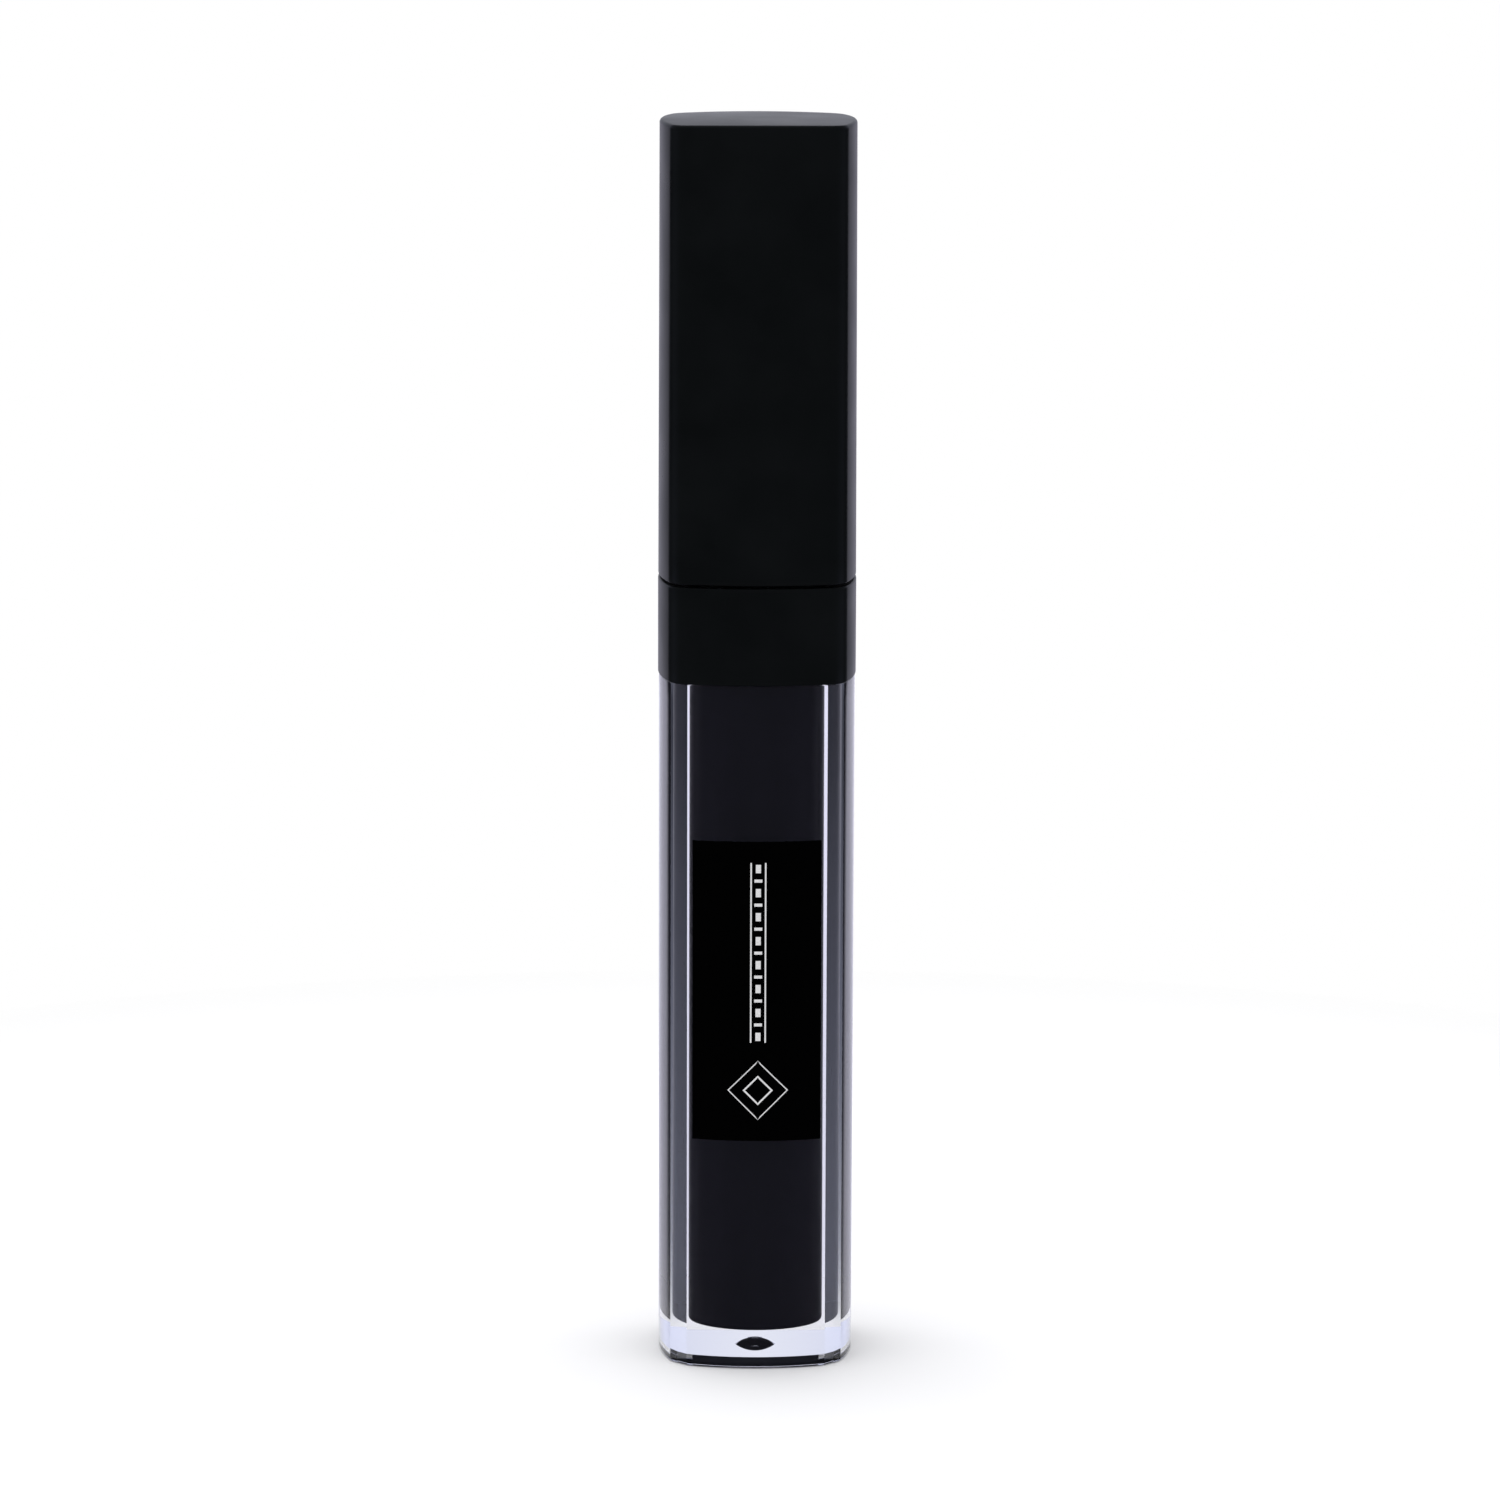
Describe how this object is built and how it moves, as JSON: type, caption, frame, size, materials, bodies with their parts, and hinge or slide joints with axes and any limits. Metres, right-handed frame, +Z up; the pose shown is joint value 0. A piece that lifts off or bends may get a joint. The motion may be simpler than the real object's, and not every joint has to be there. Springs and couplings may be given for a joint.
{
  "type": "lip gloss tube",
  "caption": "Square clear lip gloss tube with a black collar and a tall black screw cap that carries a doe-foot wand.",
  "frame": {"origin": "centre of the flat base that the tube stands on", "axes": "+Z up the long axis, from the base to the top of the cap; -Y out of the side that carries the printed panel; +X to the right of that side"},
  "size_m": [0.017, 0.017, 0.1073],
  "materials": {
    "clear_plastic": "clear, polished, thick-walled",
    "dark_gloss": "wet, almost black plum liquid",
    "printed_panel": "screen-printed black with fine white lines",
    "soft_touch_black": "soft-touch black lacquer",
    "black_plastic": "plain moulded black",
    "wiper_plastic": "milky translucent soft plastic",
    "flocked_tip": "short nylon flock wetted with gloss"
  },
  "bodies": {
    "tube": {"bottle": "clear_plastic", "gloss_fill": "dark_gloss", "front_label": "printed_panel", "collar": "soft_touch_black", "wiper": "wiper_plastic"},
    "wand": {"wand_rod": "black_plastic"},
    "cap": {"cap_shell": "soft_touch_black", "cap_liner": "black_plastic", "applicator_tip": "flocked_tip"}
  },
  "joints": [
    {"name": "wand_lift", "type": "slide", "parent": "tube", "child": "wand", "axis": [0, 0, 1], "range_m": [0, 0.08]},
    {"name": "cap_twist", "type": "hinge", "parent": "wand", "child": "cap", "pos_m": [0, 0, 0.08], "axis": [0, 0, 1], "range_deg": [0, 450]}
  ]
}
